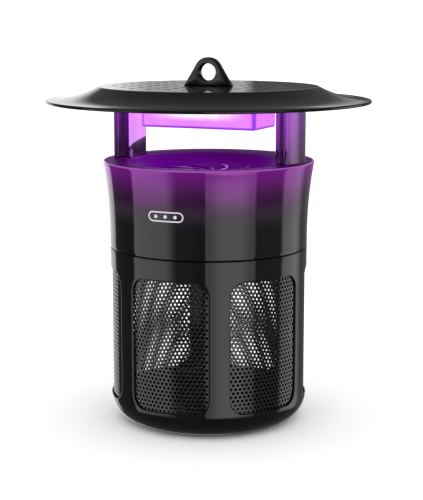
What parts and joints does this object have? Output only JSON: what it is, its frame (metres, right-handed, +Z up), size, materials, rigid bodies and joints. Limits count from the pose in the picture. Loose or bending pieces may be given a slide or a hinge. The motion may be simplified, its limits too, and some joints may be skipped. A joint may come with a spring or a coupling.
{
  "type": "fan-type ultraviolet insect trap",
  "caption": "Hanging or standing insect trap: a canopy with an ultraviolet lamp over a fan intake ring, and a lift-off basket with perforated windows.",
  "frame": {"origin": "middle of the face that the trap stands on", "axes": "+Z up along the body's axis; front at -Y, posts at +X and -X"},
  "size_m": [0.232, 0.232, 0.2617],
  "materials": {
    "gloss_black": "high-gloss black ABS",
    "steel": "bright steel",
    "inner_black": "satin black ABS",
    "lamp_cover": "clear violet acrylic",
    "lamp_board": "white solder mask",
    "led": "ultraviolet diode under clear resin",
    "post_black": "high-gloss black ABS, lit violet by the lamp",
    "fan_black": "glass-filled black plastic",
    "copper": "enamelled copper winding",
    "bronze": "sintered bronze",
    "rotor_black": "black PBT",
    "magnet": "bonded ferrite",
    "panel_black": "fine-textured black ABS",
    "switch_black": "satin black nylon",
    "rocker_black": "gloss black nylon",
    "jack_black": "satin black nylon",
    "nickel": "nickel plate",
    "circuit_green": "green solder mask",
    "component_black": "moulded component case",
    "lead_black": "PVC insulation",
    "rubber": "soft black rubber",
    "mesh_black": "satin black perforated sheet"
  },
  "bodies": {
    "basket": {"basket_shell": "gloss_black", "basket_bowl": "gloss_black", "basket_neck": "gloss_black", "mesh_panel_1": "mesh_black", "mesh_panel_2": "mesh_black", "mesh_panel_3": "mesh_black", "mesh_panel_4": "mesh_black", "mesh_panel_5": "mesh_black", "mesh_panel_6": "mesh_black", "seal_ring": "rubber", "foot_ring": "rubber"},
    "head": {"cap_shell": "gloss_black", "hanging_loop": "gloss_black", "loop_screws": "steel", "cap_tray": "inner_black", "cap_screws": "steel", "led_cover": "lamp_cover", "led_cover_screws": "steel", "led_board": "lamp_board", "uv_leds": "led", "led_board_screws": "steel", "post_right_core": "post_black", "post_right_cover": "post_black", "post_left_core": "post_black", "post_left_cover": "post_black", "post_top_screws": "steel", "post_foot_screws": "steel", "upper_housing": "gloss_black", "intake_funnel": "inner_black", "funnel_screws": "steel", "guide_vanes": "inner_black", "fan_frame": "fan_black", "fan_stator": "copper", "fan_bush": "bronze", "fan_screws": "steel", "baffle_plate": "inner_black", "rear_panel": "panel_black", "switch_body": "switch_black", "dc_jack": "jack_black", "dc_jack_pin": "nickel", "dc_jack_nut": "nickel", "control_board": "circuit_green", "board_parts": "component_black", "board_screws": "steel", "lamp_lead": "lead_black"},
    "fan_impeller": {"fan_rotor": "rotor_black", "fan_magnet": "magnet", "fan_shaft": "steel"},
    "rocker": {"power_rocker": "rocker_black"}
  },
  "joints": [
    {"name": "head_lift", "type": "slide", "parent": "basket", "child": "head", "axis": [0, 0, 1], "range_m": [0, 0.04]},
    {"name": "fan_spin", "type": "hinge", "parent": "head", "child": "fan_impeller", "pos_m": [0, 0, 0.155], "axis": [0, 0, 1], "continuous": true},
    {"name": "switch_rock", "type": "hinge", "parent": "head", "child": "rocker", "pos_m": [-0.009, 0.061, 0.1533], "axis": [0, 0, 1], "range_deg": [-16, 0]}
  ]
}
